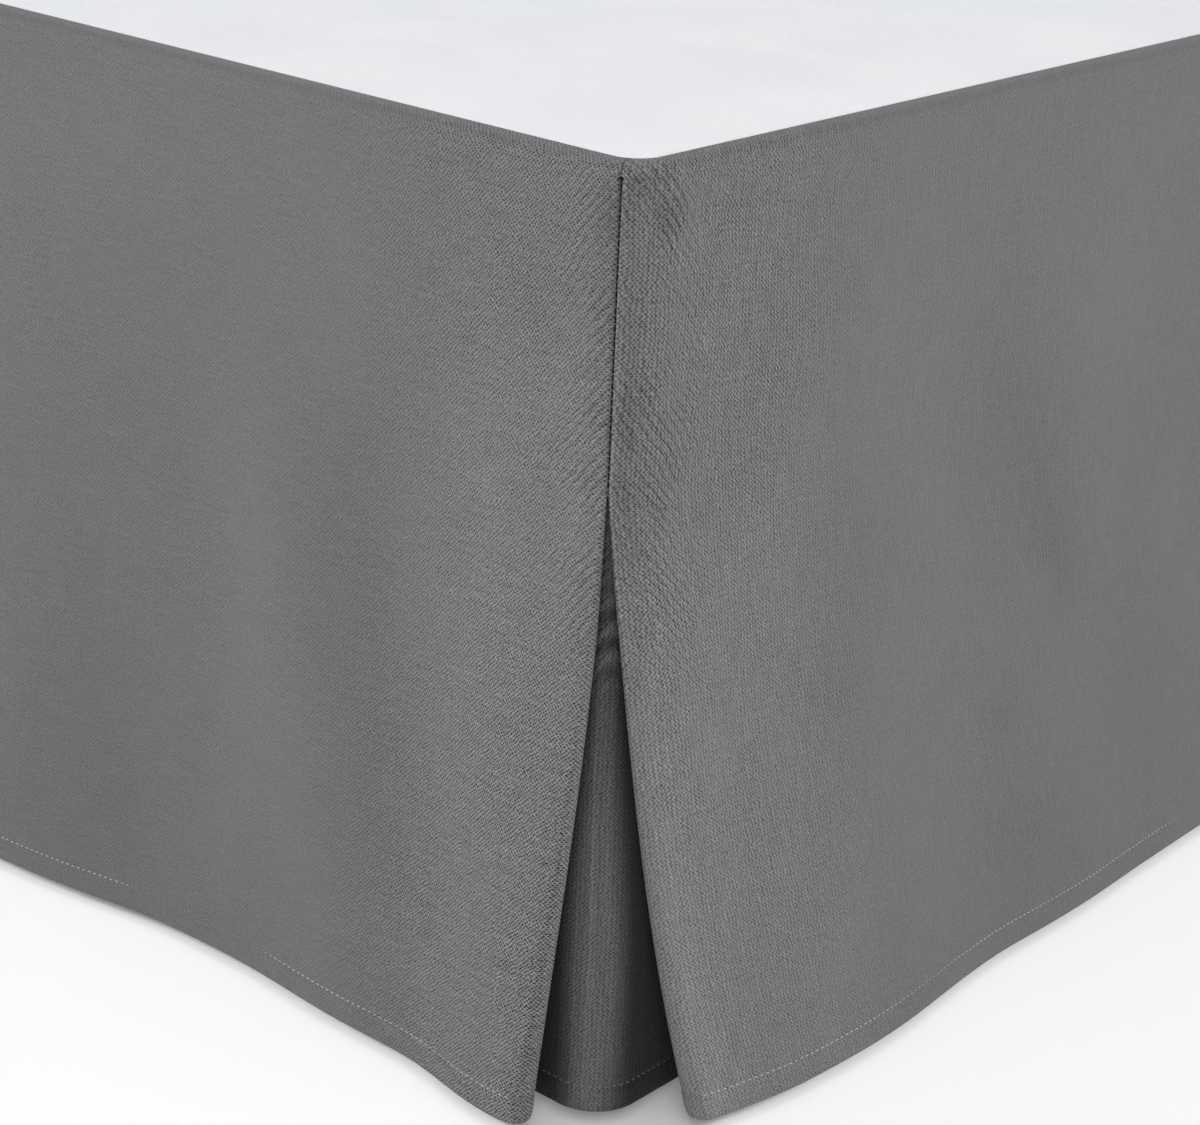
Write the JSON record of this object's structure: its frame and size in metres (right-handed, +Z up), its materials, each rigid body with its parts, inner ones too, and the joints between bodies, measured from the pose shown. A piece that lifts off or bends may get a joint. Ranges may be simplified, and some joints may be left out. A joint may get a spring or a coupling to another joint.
{
  "type": "bed skirt on bed base",
  "caption": "Tailored grey bed skirt with split corners and underlays, its white deck lying on a plain bed base with short legs.",
  "frame": {"origin": "centre of the bounding box in plan, on the floor under the legs", "axes": "+Z up, +Y to the open head end of the bed, -Y to the foot drop, +X to the right side drop seen from the foot"},
  "size_m": [1.595, 2.0531, 0.387],
  "materials": {
    "grey_cloth": "matt woven cloth",
    "white_cloth": "smooth matt cloth",
    "base_cover": "plain ticking",
    "leg_wood": "satin brown"
  },
  "bodies": {
    "root": {"bed_base": "base_cover", "deck": "white_cloth", "foot_drop": "grey_cloth", "right_drop": "grey_cloth", "left_drop": "grey_cloth", "right_corner_insert": "grey_cloth", "left_corner_insert": "grey_cloth", "leg_foot_left": "leg_wood", "leg_foot_right": "leg_wood", "leg_middle_left": "leg_wood", "leg_middle_right": "leg_wood", "leg_head_left": "leg_wood", "leg_head_right": "leg_wood"}
  },
  "joints": []
}
